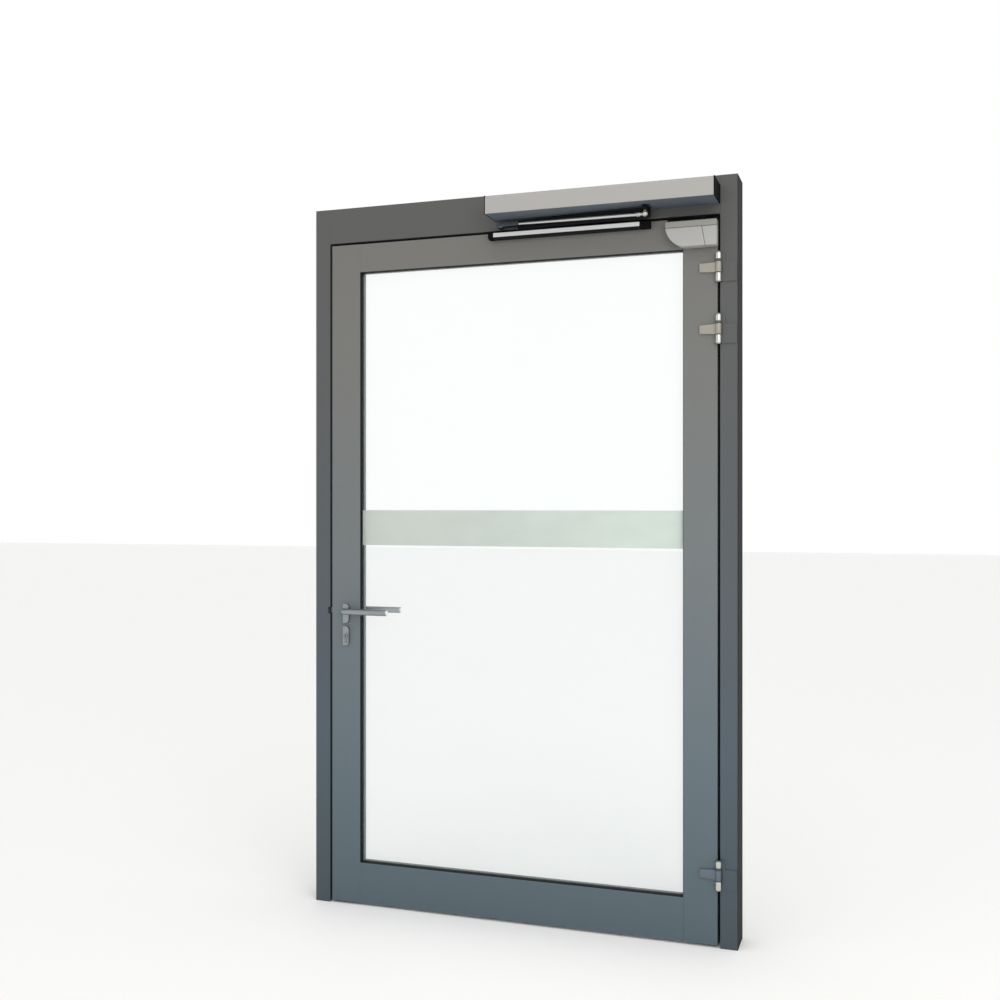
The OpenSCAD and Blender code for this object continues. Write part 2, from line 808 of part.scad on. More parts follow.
module glass_pane() {
    color([0.75, 0.85, 0.85, 0.35])
        box([-sight_x - glass_bite, glass_y, sight_bottom - glass_bite],
            [sight_x + glass_bite, glass_y + glass_t, sight_top + glass_bite]);
}

module frosted_band() {
    color([0.8, 0.84, 0.82])
        box([-sight_x + fit_c, glass_y - film_t, band_z], [sight_x - fit_c, glass_y, band_z + band_h]);
}

// Four straight strips round the sight line that reach w behind it: the upright ones run
// through and the others are cut to fit between them
module glazing_ring(y0, y1, w) {
    for (s = [0, 1]) mirror([s, 0, 0])
        box([sight_x, y0, sight_bottom - w], [sight_x + w, y1, sight_top + w]);
    for (z = [sight_bottom - w, sight_top])
        box([-sight_x + fit_c, y0, z], [sight_x - fit_c, y1, z + w]);
}

module front_gaskets() {
    color(BLACK) glazing_ring(shoulder_t, glass_y, glass_bite);
}

module back_gaskets() {
    color(BLACK) glazing_ring(glass_y + glass_t, bead_y, glass_bite);
}

module glazing_beads() {
    color(PAINT) glazing_ring(bead_y, leaf_t, rebate_w);
}

module setting_blocks() {
    block_l = 100;
    color(BLACK) for (s = [-1, 1]) translate([s * sight_x / 2, 0, 0])
        box([-block_l / 2, glass_y, sight_bottom - rebate_w],
            [block_l / 2, glass_y + glass_t, sight_bottom - glass_bite]);
}

// ---- Track and sensor ----

// Outline (depth, height) of the track with chamfered front edges
module track_outline() {
    polygon([[0, 0], [0, track_h], [-track_d + track_c, track_h], [-track_d, track_h - track_c],
        [-track_d, track_c], [-track_d + track_c, 0]]);
}

module slide_track() {
    color(BLACK) translate([0, 0, track_z0]) along_x(track_x0 + track_cap_l, track_x1 - hinge_cap_l)
        difference() {
            track_outline();
            translate([-track_d + track_wall, track_wall])
                square([track_d - 2 * track_wall, track_h - 2 * track_wall]);
            translate([track_y - slot_w / 2, track_wall]) square([slot_w, track_h]);
        }
}

// Silver strip on the flat of the track's front
module track_strip() {
    color(SILVER) box([track_x0 + track_cap_l, -track_d - strip_t, track_z0 + track_c],
        [track_x1 - hinge_cap_l, -track_d, track_z0 + track_c + strip_h]);
}

module track_end_caps() {
    color(BLACK) translate([0, 0, track_z0]) for (x = [[track_x0, track_x0 + track_cap_l],
        [track_x1 - hinge_cap_l, track_x1]])
        along_x(x[0], x[1]) track_outline();
}

// Outline of the sensor's front, set in by d, up to height top: one large round corner
module sensor_outline(d, top) {
    r = sensor_r - d;
    n = 16;
    polygon(concat(
        [[sensor_x1 - d, top], [sensor_x0 + d, top]],
        [for (k = [0 : n]) [sensor_x0 + sensor_r - r * cos(90 * k / n),
            sensor_z0 + sensor_r - r * sin(90 * k / n)]],
        [[sensor_x1 - d, sensor_z0 + d]]));
}

module sensor_base() {
    inset = sensor_wall + fit_c;
    color(BLACK) {
        along_y(-sensor_plate, 0) difference() {
            sensor_outline(inset, sensor_z1 - inset);
            translate([leaf_x, sensor_z0]) square([sensor_w, sensor_h]);
        }
        // Optics block behind the window
        box([sensor_x0 + 20, -sensor_d + 12, sensor_z1 - window_h - 18],
            [sensor_x1 - 20, -sensor_plate, sensor_z1 - 6]);
    }
}

module sensor_cover() {
    top = sensor_z1 - window_h;
    color(COVER) difference() {
        along_y(-sensor_d, 0) sensor_outline(0, top);
        along_y(-sensor_d + sensor_wall, past) sensor_outline(sensor_wall, top + past);
    }
}

// Window strip along the top, with its own top and end walls
module sensor_window() {
    z0 = sensor_z1 - window_h;
    color([0.5, 0.5, 0.49]) difference() {
        box([sensor_x0, -sensor_d, z0], [sensor_x1, 0, sensor_z1]);
        box([sensor_x0 + sensor_wall, -sensor_d + sensor_wall, z0 - past],
            [sensor_x1 - sensor_wall, past, sensor_z1 - sensor_wall]);
    }
}

// ---- Handle ----

// Outline of a plate: tight corners towards the leaf's edge, wide ones towards the glass
module plate_outline() {
    small = 2;
    large = rose_w / 2;
    at = function (x, z, r, start) [for (k = [0 : 6]) [x, z] + r * [cos(start + 15 * k),
        sin(start + 15 * k)]];
    polygon(concat(
        at(rose_w / 2 - large, rose_h / 2 - large, large, 0),
        at(small - rose_w / 2, rose_h / 2 - small, small, 90),
        at(small - rose_w / 2, small - rose_h / 2, small, 180),
        at(rose_w / 2 - large, large - rose_h / 2, large, 270)));
}

module plates_at(z) {
    for (y = [-rose_t, leaf_t]) translate([handle_x, 0, z]) along_y(y, y + rose_t) plate_outline();
}

module handle_roses() {
    color(STEEL) difference() {
        plates_at(lever_z - rose_drop);
        translate([handle_x, 0, lever_z]) along_y(-rose_t - past,
            leaf_t + rose_t + past) circle(neck_r + run_c);
    }
}

module escutcheons() {
    color(STEEL) difference() {
        plates_at(cylinder_z);
        translate([handle_x, 0, cylinder_z]) along_y(-rose_t - past,
            leaf_t + rose_t + past) key_outline(fit_c);
    }
}

// Lever on the front: neck, bend and straight bar with a bevelled flat end
module lever() {
    neck_l = lever_off - bend_r;
    shoulder = rose_t + run_c;
    bevel = 1.5;
    translate([handle_x, 0, lever_z]) {
        rotate([90, 0, 0]) cylinder(r = neck_r, h = shoulder + past);
        translate([0, -shoulder, 0]) rotate([90, 0, 0]) cylinder(r = lever_r, h = neck_l - shoulder);
        translate([bend_r, -neck_l, 0]) rotate([0, 0, 180]) rotate_extrude(angle = 90)
            translate([bend_r, 0]) circle(lever_r);
        translate([bend_r, -lever_off, 0]) round_bar(lever_r, lever_l - bevel - bend_r);
        translate([lever_l - bevel, -lever_off, 0]) rotate([0, 90, 0]) cylinder(r1 = lever_r,
            r2 = lever_r - bevel, h = bevel);
    }
}

module lever_front() {
    color(STEEL) lever();
}

module lever_back() {
    color(STEEL) translate([0, leaf_t, 0]) mirror([0, 1, 0]) lever();
}

// Square bar between the two levers, through the follower
module lever_spindle() {
    color(STEEL) translate([handle_x, 0, lever_z]) box([-square / 2, 0, -square / 2],
        [square / 2, leaf_t, square / 2]);
}

// ---- Lock ----

// Outline (x, height) of a profile cylinder round its key's axis, grown by c
module key_outline(c) {
    circle(barrel_r + c);
    translate([-leg_w / 2 - c, barrel_r - cylinder_h + leg_w / 2]) square([leg_w + 2 * c,
        cylinder_h - barrel_r - leg_w / 2]);
    translate([0, barrel_r - cylinder_h + leg_w / 2]) circle(leg_w / 2 + c);
}

module lock_case() {
    color(SILVER) difference() {
        box([case_x0, case_y, case_z0], [case_x0 + case_w, case_y + case_t, case_z1]);
        box([case_x0 - past, case_y + case_wall, case_z0 + case_wall],
            [case_x0 + case_w - case_wall, case_y + case_t - case_wall, case_z1 - case_wall]);
        translate([handle_x, 0, 0]) along_y(0, leaf_t) {
            translate([0, lever_z]) circle(bearing_r + run_c);
            translate([0, cylinder_z]) key_outline(fit_c);
        }
    }
}

// Holes for the forend's two screws, at its ends
module plate_screws_at(x) {
    for (z = [plate_z0 + plate_end / 2, plate_z0 + plate_h - plate_end / 2])
        translate([x, leaf_t / 2, z]) rotate([0, 90, 0]) children();
}

module lock_forend() {
    color(STEEL) difference() {
        box([-leaf_x, plate_y + fit_c, plate_z0 + fit_c],
            [-leaf_x + leaf_wall, plate_y + plate_w - fit_c, plate_z0 + plate_h - fit_c]);
        box([-leaf_x - past, bolt_y - slide_c, latch_z - slide_c],
            [-leaf_x + leaf_wall + past, bolt_y + bolt_t + slide_c, latch_z + latch_h + slide_c]);
        box([-leaf_x - past, bolt_y - slide_c, bolt_z - bolt_h / 2 - slide_c],
            [-leaf_x + leaf_wall + past, bolt_y + bolt_t + slide_c, bolt_z + bolt_h / 2 + slide_c]);
        plate_screws_at(-leaf_x - past) cylinder(r = screw_r, h = leaf_wall + 2 * past);
    }
}

// Screws and the lugs of the profile that they hold in
module lock_screws() {
    lug = 9;
    color(STEEL) plate_screws_at(-leaf_x + 0.5) {
        cylinder(r = screw_r - run_c, h = leaf_wall + 8);
        translate([0, 0, leaf_wall - 0.5]) difference() {
            translate([-lug, -lug, 0]) cube([2 * lug, 2 * lug, 4]);
            translate([0, 0, -past]) cylinder(r = screw_r - run_c, h = 6);
        }
    }
}

module cylinder_body() {
    y0 = -rose_t - cylinder_out;
    y1 = leaf_t + rose_t + cylinder_out;
    color(SILVER) difference() {
        translate([handle_x, 0, cylinder_z]) along_y(y0, y1) difference() {
            key_outline(0);
            circle(key_r);
        }
        // Gap for the cam
        translate([handle_x, 0, cylinder_z]) along_y(leaf_t / 2 - cam_w / 2 - fit_c,
            leaf_t / 2 + cam_w / 2 + fit_c)
            circle(cam_r + slide_c);
    }
}

// Plug with its keyways and, in the middle, the cam that throws the dead bolt
module cylinder_plug() {
    y0 = -rose_t - cylinder_out;
    y1 = leaf_t + rose_t + cylinder_out;
    cam_y = leaf_t / 2 - cam_w / 2;
    color([0.78, 0.68, 0.42]) translate([handle_x, 0, cylinder_z]) difference() {
        union() {
            along_y(y0, y1) circle(key_r - run_c);
            along_y(cam_y, cam_y + cam_w) {
                circle(barrel_r - fit_c);
                intersection() {
                    circle(cam_r);
                    translate([-4, -cam_r]) square([8, cam_r]);
                }
            }
        }
        for (y = [y0 - past, y1 - 20]) box([-1, y, -4], [1, y + 20 + past, 4]);
    }
}

// Bevelled latch with a tail that stops short of the follower
module latch_bolt() {
    x0 = -leaf_x - latch_throw;
    tail_x = handle_x - follower_r - latch_throw - 2;
    color(STEEL) {
        translate([0, 0, latch_z]) linear_extrude(latch_h)
            polygon([[x0, bolt_y], [x0 + 24, bolt_y], [x0 + 24, bolt_y + bolt_t],
                [x0 + bolt_t, bolt_y + bolt_t],
                [x0, bolt_y + 2]]);
        box([x0 + 24, bolt_y + 2, lever_z - 4], [tail_x, bolt_y + bolt_t - 2, lever_z + 4]);
    }
}

module dead_bolt() {
    color(STEEL) box([-leaf_x + slide_c, bolt_y, bolt_z - bolt_h / 2],
        [-leaf_x + bolt_l, bolt_y + bolt_t, bolt_z + bolt_h / 2]);
}

// Follower that turns in the case and takes the square bar
module lock_follower() {
    color(STEEL) translate([handle_x, 0, lever_z]) difference() {
        union() {
            along_y(case_y, case_y + case_t) circle(bearing_r);
            along_y(case_y + case_wall + fit_c, case_y + case_t - case_wall - fit_c) circle(follower_r);
        }
        box([-square / 2 - run_c, 0, -square / 2 - run_c], [square / 2 + run_c, leaf_t, square / 2 + run_c]);
    }
}

jamb_hinge_side();
jamb_lock_side();
frame_head();
head_cleats();
stop_seals();
strike_plate();
frame_wing(TOP);  // top_hinge_frame_wing
frame_wing(UPPER);  // upper_hinge_frame_wing
frame_wing(BOTTOM);  // bottom_hinge_frame_wing
hinge_pins();
operator_chassis();
operator_cover();
operator_cap_left();
operator_cap_right();
operator_gearbox();
operator_motor();
operator_spring();
operator_power_unit();
operator_control_board();
operator_screws();
arm_spindle();
arm_hub();
arm_bar();
arm_rod();
arm_knuckle();
slide_shoe();
stile_hinge_side();
stile_lock_side();
rail_top();
rail_bottom();
leaf_cleats();
glass_pane();
frosted_band();
front_gaskets();
back_gaskets();
glazing_beads();
setting_blocks();
leaf_wing(TOP);  // top_hinge_leaf_wing
leaf_wing(UPPER);  // upper_hinge_leaf_wing
leaf_wing(BOTTOM);  // bottom_hinge_leaf_wing
hinge_bushes();
slide_track();
track_strip();
track_end_caps();
sensor_base();
sensor_cover();
sensor_window();
handle_roses();
escutcheons();
lock_case();
lock_forend();
lock_screws();
cylinder_body();
cylinder_plug();
latch_bolt();
dead_bolt();
lever_front();
lever_back();
lever_spindle();
lock_follower();
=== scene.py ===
# %% [markdown]
# # A glazed aluminium door, finished in Blender
#
# The metalwork arrives as a fixed frame: every profile, pane, hinge and lock part at
# its real size and place. What is left to make is what the eye reads first, which is
# the powder coat, the brushed and anodised metal, the film on the glass, and the few
# small parts whose soft edges catch the light.

# %% Load the frame
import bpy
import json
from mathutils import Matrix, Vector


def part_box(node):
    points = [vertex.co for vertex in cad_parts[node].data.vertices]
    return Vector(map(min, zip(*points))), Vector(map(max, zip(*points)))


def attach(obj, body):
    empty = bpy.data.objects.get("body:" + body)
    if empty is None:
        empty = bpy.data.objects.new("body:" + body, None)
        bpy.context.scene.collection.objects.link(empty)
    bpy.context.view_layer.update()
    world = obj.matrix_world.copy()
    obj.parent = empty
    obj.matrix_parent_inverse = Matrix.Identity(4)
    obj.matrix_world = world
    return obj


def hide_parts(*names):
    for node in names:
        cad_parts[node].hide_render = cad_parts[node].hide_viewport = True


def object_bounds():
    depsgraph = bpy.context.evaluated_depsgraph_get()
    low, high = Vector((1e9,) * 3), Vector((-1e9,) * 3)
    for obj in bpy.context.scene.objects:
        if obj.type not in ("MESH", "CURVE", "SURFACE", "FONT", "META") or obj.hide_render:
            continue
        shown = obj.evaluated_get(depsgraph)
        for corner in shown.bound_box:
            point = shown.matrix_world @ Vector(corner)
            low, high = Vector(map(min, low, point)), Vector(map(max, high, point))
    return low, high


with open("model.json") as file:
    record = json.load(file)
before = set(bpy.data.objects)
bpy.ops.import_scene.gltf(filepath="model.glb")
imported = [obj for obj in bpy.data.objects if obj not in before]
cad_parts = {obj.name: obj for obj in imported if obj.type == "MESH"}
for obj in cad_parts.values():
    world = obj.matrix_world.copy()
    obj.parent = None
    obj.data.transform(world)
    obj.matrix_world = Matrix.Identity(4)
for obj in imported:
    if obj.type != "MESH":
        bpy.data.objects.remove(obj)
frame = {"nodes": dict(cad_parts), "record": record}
cad_box = [list(map(float, corner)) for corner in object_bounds()]

import json

import bmesh
import bpy
import numpy as np
from mathutils import Vector

MM = 0.001
nodes = frame["nodes"]
(X0, Y0, Z0), (X1, Y1, Z1) = cad_box


def ends(name):
    """The low and the high corner of a node's box, in metres."""
    return map(np.array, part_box(name))


print("frame is", round(X1 - X0, 3), "x", round(Z1 - Z0, 3), "m,", len(nodes), "nodes")

# %% [markdown]
# ## Camera
#
# The door is seen from a standing eye in front of its hinge side, turned a little to
# the left. The camera could be tilted to frame the door, but then its uprights would
# lean; it stays level, and a small upward shift of the lens does the framing.

# %% Camera
EYE = (1.150, -3.517, 1.319)
TURN_LEFT = np.radians(18.8)
LENS_MM = 42.3

camera = bpy.data.objects.new("camera", bpy.data.cameras.new("camera"))
bpy.context.scene.collection.objects.link(camera)
camera.location = EYE
camera.rotation_euler = (np.pi / 2, 0, TURN_LEFT)
camera.data.sensor_width = 36
camera.data.lens = LENS_MM
camera.data.shift_y = 0.005
bpy.context.scene.camera = camera
bpy.context.scene.view_settings.view_transform = "Standard"
print("eye at", EYE, "with a", LENS_MM, "mm lens")

# %% [markdown]
# ## Floor and lamps
#
# The room is a plain white studio. A warm lamp stands to the right at ceiling height,
# a cooler and weaker one low down, and a very wide sun stands in for a white ceiling,
# which lights the floor and so, from below, the undersides. Area lamps are used in
# place of points because their size gives the soft shadow edges of a studio.


# %% Floor and lamps
def linear(hex_colour):
    """sRGB hex such as #7a7b78 as linear red, green, blue and alpha 1."""
    channels = np.array([int(hex_colour[i:i + 2], 16) for i in (1, 3, 5)]) / 255
    low = channels / 12.92
    high = ((channels + 0.055) / 1.055) ** 2.4
    return (*np.where(channels <= 0.04045, low, high), 1.0)


def area_light(name, place, aim, size, power, colour):
    """A square lamp of the given size in metres at place, turned to face aim."""
    lamp = bpy.data.lights.new(name, "AREA")
    lamp.size = size
    lamp.energy = power
    lamp.color = linear(colour)[:3]
    obj = bpy.data.objects.new(name, lamp)
    bpy.context.scene.collection.objects.link(obj)
    obj.location = place
    obj.rotation_euler = (Vector(aim) - Vector(place)).to_track_quat("-Z", "Y").to_euler()


middle = ((X0 + X1) / 2, 0, (Z0 + Z1) / 2)
area_light("key", (2.6, -3.8, 2.9), middle, size=1.8, power=38, colour="#fff6ea")
area_light("low_cool", (0.9, -3.4, 0.5), (0, 0, 0.5), size=1.6, power=8, colour="#dcecff")

sun_lamp = bpy.data.lights.new("ceiling", "SUN")
sun_lamp.energy = 1.1
sun_lamp.angle = np.radians(60)
sun = bpy.data.objects.new("ceiling", sun_lamp)
bpy.context.scene.collection.objects.link(sun)
sun.rotation_euler = np.radians(22), np.radians(8), 0

REACH = 30
corners = [(-REACH, -REACH, 0), (REACH, -REACH, 0), (REACH, REACH, 0), (-REACH, REACH, 0)]
floor_mesh = bpy.data.meshes.new("floor")
floor_mesh.from_pydata(corners, [], [(0, 1, 2, 3)])
floor = bpy.data.objects.new("floor", floor_mesh)
bpy.context.scene.collection.objects.link(floor)
print("three lamps over a floor", 2 * REACH, "m wide")

# %% [markdown]
# ## How node trees are written here
#
# Every finish is a Principled shader. One small function adds a node with its
# settings and links, so that a finish reads as a list of what it is made of.


# %% Add a node
def add_node(tree, kind, settings=None, **inputs):
    """Adds a node. Settings are its own fields; inputs are numbers, colours or sockets. An
    input is called by its name, or by a letter and its number where names repeat."""
    node = tree.nodes.new(kind)
    for field, value in (settings or {}).items():
        setattr(node, field, value)
    for socket, value in inputs.items():
        place = node.inputs[int(socket[1:]) if socket[1:].isdigit() else socket.replace("_", " ")]
        if isinstance(value, bpy.types.NodeSocket):
            tree.links.new(value, place)
        else:
            place.default_value = value
    return node


# %% [markdown]
# ## White surroundings
#
# The walls of the studio are white up to about 24 degrees above the horizon and fade
# to grey overhead. An even white world would be simpler, but then nothing dark would
# be left to show the form of the metal parts. The fade follows the height of the ray,
# which is the sine of its angle above the horizon.

# %% White horizon, grey zenith
world = bpy.data.worlds.new("studio")
bpy.context.scene.world = world
world.use_nodes = True
sky = world.node_tree
ray = add_node(sky, "ShaderNodeTexCoord").outputs["Generated"]
rise = add_node(sky, "ShaderNodeSeparateXYZ", Vector=ray).outputs["Z"]
WHITE_TO, GREY_FROM = 0.40, 0.85
shade = add_node(sky, "ShaderNodeMapRange", Value=rise,
                 From_Min=WHITE_TO, From_Max=GREY_FROM, To_Min=1.0, To_Max=0.35)
sky.links.new(shade.outputs[0], sky.nodes["Background"].inputs["Strength"])
sky.nodes["Background"].inputs["Color"].default_value = linear("#ffffff")
print("white to", round(np.degrees(np.arcsin(WHITE_TO))), "degrees above the horizon")

# %% [markdown]
# ## Patterns in millimetres
#
# Real finishes are never one flat tone. Noise gives each its grain, at a size taken
# from the real process, and reads Object coordinates, so that it stays on the piece
# when the piece moves. A pattern too fine for a whole-door view is drawn coarser.


# %% Material helpers
def new_material(name, colour, **inputs):
    """A Principled material. Returns the material, its tree and the shader node."""
    mat = bpy.data.materials.new(name)
    mat.use_nodes = True
    tree = mat.node_tree
    shader = tree.nodes["Principled BSDF"]
    shader.inputs["Base Color"].default_value = linear(colour)
    for socket, value in inputs.items():
        shader.inputs[socket.replace("_", " ")].default_value = value
    return mat, tree, shader


def object_point(tree, stretch=(1, 1, 1)):
    """Object coordinates in metres, stretched by a factor along each axis."""
    where = add_node(tree, "ShaderNodeTexCoord").outputs["Object"]
    return add_node(tree, "ShaderNodeMapping", Vector=where, Scale=stretch).outputs[0]


def grain(tree, size_mm, stretch=(1, 1, 1), detail=2.0):
    """Noise whose blotches are about size_mm across; its value lies round 0.5."""
    return add_node(tree, "ShaderNodeTexNoise", Vector=object_point(tree, stretch),
                    Scale=1 / (size_mm * MM), Detail=detail, Roughness=0.55).outputs["Fac"]


def bump(tree, shader, height, depth_mm, strength=1.0):
    """Raises the surface by depth_mm where height goes from 0 to 1."""
    raised = add_node(tree, "ShaderNodeBump", Height=height, Strength=strength,
                      Distance=depth_mm * MM)
    tree.links.new(raised.outputs[0], shader.inputs["Normal"])


def spread(tree, value, low, high):
    """Takes the middle of a noise, 0.3 to 0.7, to the range low to high."""
    return add_node(tree, "ShaderNodeMapRange", Value=value, From_Min=0.3, From_Max=0.7,
                    To_Min=low, To_Max=high).outputs[0]


def tinted(tree, colour, value, dark, light):
    """A colour whose brightness wanders between dark and light with a noise value."""
    factor = spread(tree, value, dark, light)
    if not isinstance(colour, bpy.types.NodeSocket):
        colour = colour[:3]
    scaled = add_node(tree, "ShaderNodeVectorMath", {"operation": "SCALE"}, i0=colour, Scale=factor)
    return scaled.outputs[0]


print("patterns are measured in units of", MM, "m")

# %% [markdown]
# ## Powder coat
#
# Frame and leaf are aluminium extrusions under a matt polyester powder coat. The
# powder flows as it bakes and leaves a faint orange peel about two millimetres
# across. Light and shade over the height are painted into the coat's colour: warmer
# and lighter towards the ceiling light, cooler and darker near the floor. The frame's
# outer edge, which goes into the wall, has the same coat; its shade is painted there
# as dead black with little gloss, wherever the surface is far enough from the door's
# middle.


# %% Powder coat
def painted_light_ramp(tree, tones, axis="Z", start=Z0, end=Z1):
    """Painted light and shade along an axis: tones are hex colours at equal steps from start to end.
    """
    where = add_node(tree, "ShaderNodeTexCoord").outputs["Object"]
    place = add_node(tree, "ShaderNodeSeparateXYZ", Vector=where).outputs[axis]
    share = add_node(tree, "ShaderNodeMapRange", Value=place, From_Min=start, From_Max=end)
    ramp = add_node(tree, "ShaderNodeValToRGB", Fac=share.outputs[0])
    stops = ramp.color_ramp.elements
    stops[0].color = linear(tones[0])
    stops[1].color = linear(tones[-1])
    for step, tone in enumerate(tones[1:-1], 1):
        stops.new(step / (len(tones) - 1)).color = linear(tone)
    return ramp.outputs["Color"]


def painted_edge_shade(tree, shader, colour, half_width):
    """Paints shade on the frame's outer edges: turns a colour dead black, with little gloss, where the
    distance from the middle plane is past half_width.
    """
    point = add_node(tree, "ShaderNodeTexCoord").outputs["Object"]
    side = add_node(tree, "ShaderNodeSeparateXYZ", Vector=point).outputs["X"]
    far = add_node(tree, "ShaderNodeMath", {"operation": "ABSOLUTE"}, i0=side).outputs[0]
    edge_shade_mask = add_node(tree, "ShaderNodeMath", {"operation": "GREATER_THAN"},
                    i0=far, i1=half_width).outputs[0]
    gloss = add_node(tree, "ShaderNodeMapRange", Value=edge_shade_mask, To_Min=0.5, To_Max=0.02)
    tree.links.new(gloss.outputs[0], shader.inputs["Specular IOR Level"])
    return add_node(tree, "ShaderNodeMix", {"data_type": "RGBA"}, Factor=edge_shade_mask,
                    # Dead black: painted shade on the frame's outer edges.
                    i6=colour, i7=linear("#141519")).outputs[2]


def powder_coat(name, tones, shade_edge_at=None):
    """Matt powder coat: painted light and shade drifting over the height, faint mottle, and orange
    peel two millimetres across.
    """
    mat, tree, shader = new_material(name, tones[1], Roughness=0.5)
    colour = tinted(tree, painted_light_ramp(tree, tones), grain(tree, 1.6, detail=3), 0.965, 1.03)
    if shade_edge_at:
        colour = painted_edge_shade(tree, shader, colour, shade_edge_at)
    tree.links.new(colour, shader.inputs["Base Color"])
    bump(tree, shader, grain(tree, 2.2), 0.02, 0.6)
    return mat


# Both coats are dull and soft to the eye; the frame's is a tone darker than the leaf's.
# Tones from floor to top: painted shade near the floor, painted light towards the ceiling.
frame_painted_light_tones = ("#354249", "#43505a", "#4a5054", "#4d4f50", "#4f4f4d")
leaf_painted_light_tones = ("#46565e", "#58666d", "#676d6f", "#6b6c6a", "#696762")
finish = {
    "frame_paint": powder_coat("powder_coat_dark", frame_painted_light_tones, shade_edge_at=X1 - 1 * MM),
    "leaf_paint": powder_coat("powder_coat_mid", leaf_painted_light_tones),
}
print("coats:", [mat.name for mat in finish.values()])

# %% [markdown]
# ## Anodised, brushed and cast metal
#
# The slide track and the arm are anodised aluminium: the extrusion's fine die lines
# stay under the clear oxide, so highlights smear across them. Handles are brushed
# stainless steel, whose scratches run along the bar. Both could use the shader's
# anisotropy, but lines that can be seen read better close up. The small fittings
# are cast, plated or turned, so their skin is even.


# %% Metals
def lined_metal(name, colour, roughness, along, line_mm=0.6, depth_mm=0.01):
    """Metal with fine lines along one axis: noise stretched a hundredfold that way. Real
    lines are some twenty times finer; these are drawn coarse enough to show."""
    stretch = [0.01 if axis == along else 1 for axis in "XYZ"]
    mat, tree, shader = new_material(name, colour, Metallic=1.0, Roughness=roughness)
    lines = grain(tree, line_mm, stretch, detail=4)
    patchy = spread(tree, lines, roughness - 0.07, roughness + 0.09)
    tree.links.new(patchy, shader.inputs["Roughness"])
    tree.links.new(tinted(tree, linear(colour), lines, 0.92, 1.04), shader.inputs["Base Color"])
    bump(tree, shader, lines, depth_mm, 0.5)
    return mat


def cast_metal(name, colour, roughness, grit_mm=0.8):
    """Die-cast or plated metal: an even, slightly pitted skin."""
    mat, tree, shader = new_material(name, colour, Metallic=1.0, Roughness=roughness)
    pits = grain(tree, grit_mm)
    tree.links.new(tinted(tree, linear(colour), pits, 0.93, 1.04), shader.inputs["Base Color"])
    bump(tree, shader, pits, 0.02, 0.5)
    return mat


# Clear-anodised extrusion: a pale satin strip with a long soft highlight.
finish["anodised"] = lined_metal("satin_anodised_aluminium", "#cdcece", 0.34, "X")
# Brushed with a fine belt: greyer, and the light runs along the bar.
finish["stainless"] = lined_metal("brushed_stainless_steel", "#999da0", 0.30, "X")
# Polished after turning: nearly a mirror, so the white room shows in it.
polished = cast_metal("polished_stainless_steel", "#c4c4be", 0.24, 3.0)
# Faced on a lathe and left bright: the small end buttons flash white.
bright = cast_metal("bright_turned_steel", "#f4f4f4", 0.12, 3.0)
# Die-cast zinc, dipped dark: dull, with blurred highlights.
finish["cast_zinc"] = cast_metal("die_cast_zinc", "#565c63", 0.45)
# Cast aluminium on the gearbox: pale and matt, with a coarser grit.
finish["cast_alloy"] = cast_metal("cast_aluminium", "#a5a7a8", 0.5, 1.5)
# Bright zinc plate on steel: smooth and faintly cool.
finish["machine_steel"] = cast_metal("zinc_plated_steel", "#a3a5a6", 0.36, 0.5)
# Satin nickel plate on the key cylinder: darker and softer than steel.
finish["nickel"] = cast_metal("satin_nickel", "#868b8d", 0.32, 0.5)
print("finishes so far:", len(finish))

# %% [markdown]
# ## Moulded plastic, rubber and painted covers
#
# Caps, sensor and seals are moulded. Plastic takes the fine spark-eroded grain of its
# mould, about half a millimetre; EPDM rubber is nearly black and never glossy. The
# operator's cover is an aluminium sheet with a satin light-grey coat, whose skin is
# as even as a moulded one, so the same function makes it.


# %% Plastics, rubber and paint
def moulded(name, colour, roughness, grain_mm=0.5, gloss=0.5):
    """Moulded plastic, rubber or smooth paint with the even grain of its skin."""
    mat, tree, shader = new_material(name, colour, Roughness=roughness, Specular_IOR_Level=gloss)
    skin = grain(tree, grain_mm)
    tree.links.new(tinted(tree, linear(colour), skin, 0.96, 1.03), shader.inputs["Base Color"])
    bump(tree, shader, skin, 0.015, 0.5)
    return mat


# Extruded EPDM: dead matt, and swallows light in every gap it lines.
finish["seal_rubber"] = moulded("epdm_rubber", "#121315", 0.75, 0.9, gloss=0.15)
# Injection-moulded ABS: black caps with hardly any shine.
finish["black_plastic"] = moulded("black_abs", "#0c0c0f", 0.6, gloss=0.05)
# Black on the arm bar and the track's body, with a trace of metal's gloss: painted shade standing in
# for the dark band behind and around the silver rod and strip.
finish["arm_paint"] = moulded("arm_and_track_painted_shade", "#0b0c0e", 0.5, 1.2, gloss=0.15)
# The operator's underside: a cool blue-grey, much darker than the cover.
finish["tray_paint"] = moulded("operator_underside_blue_grey", "#5a636c", 0.5, 1.5)
# Satin coat on the operator's cover: the palest large face on the door.
finish["cover_paint"] = moulded("light_grey_satin_paint", "#a3a19e", 0.42, 1.8)
# Injection-moulded ABS in light grey: soft, even shading on the sensor.
finish["sensor_plastic"] = moulded("light_grey_abs", "#a5a5a3", 0.45)
# Tinted polycarbonate over the optics: a shade darker and glossier than the housing.
finish["sensor_window"] = moulded("infrared_window", "#8f8e87", 0.35, 0.4)
# Machined acetal: black and waxy, seen only in the track's slot.
finish["shoe_plastic"] = moulded("black_acetal", "#141417", 0.5, gloss=0.2)
# Solder resist on the control board: a green gloss, hidden by the cover.
finish["board"] = moulded("circuit_board", "#1d4a33", 0.35, 2.0)
print("finishes so far:", len(finish))

